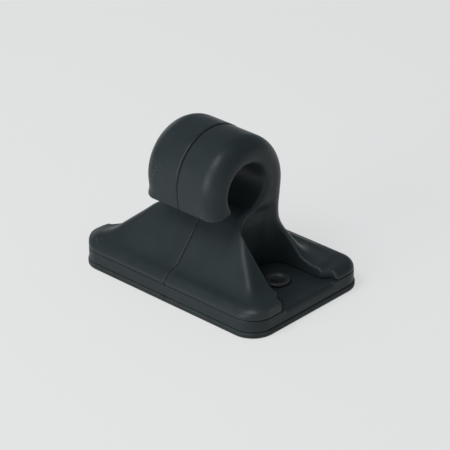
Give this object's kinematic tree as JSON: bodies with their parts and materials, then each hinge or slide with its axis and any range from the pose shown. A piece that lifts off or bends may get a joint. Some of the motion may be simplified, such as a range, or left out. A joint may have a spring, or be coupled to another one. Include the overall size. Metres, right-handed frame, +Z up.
{
  "type": "cleat horn",
  "caption": "Open hook for a rope on a flared pedestal and flat base, with a screw recess at each end; a dowelled two-part moulding on a base plate and gasket.",
  "frame": {"origin": "middle of the base's underside, on the face that lies on the deck", "axes": "+X along the hook's bore and the base's long side, -Y towards the hook's mouth, +Z up from the deck"},
  "size_m": [0.09, 0.06, 0.0615],
  "materials": {
    "horn": "satin moulded nylon, very dark grey, fine grain and light scuffs",
    "plate": "satin moulded nylon, very dark grey",
    "gasket": "matt moulded rubber, near black",
    "bush": "satin turned acetal, very dark grey",
    "dowel": "natural nylon rod, hidden",
    "body_screw": "plain stainless steel, hidden"
  },
  "bodies": {
    "root": {"foot_gasket": "gasket", "base_plate": "plate", "horn_half_left": "horn", "horn_half_right": "horn", "screw_bush_left": "bush", "screw_bush_right": "bush", "pedestal_dowel": "dowel", "crown_dowel": "dowel", "body_screw_front_left": "body_screw", "body_screw_front_right": "body_screw", "body_screw_back_left": "body_screw", "body_screw_back_right": "body_screw"}
  },
  "joints": []
}
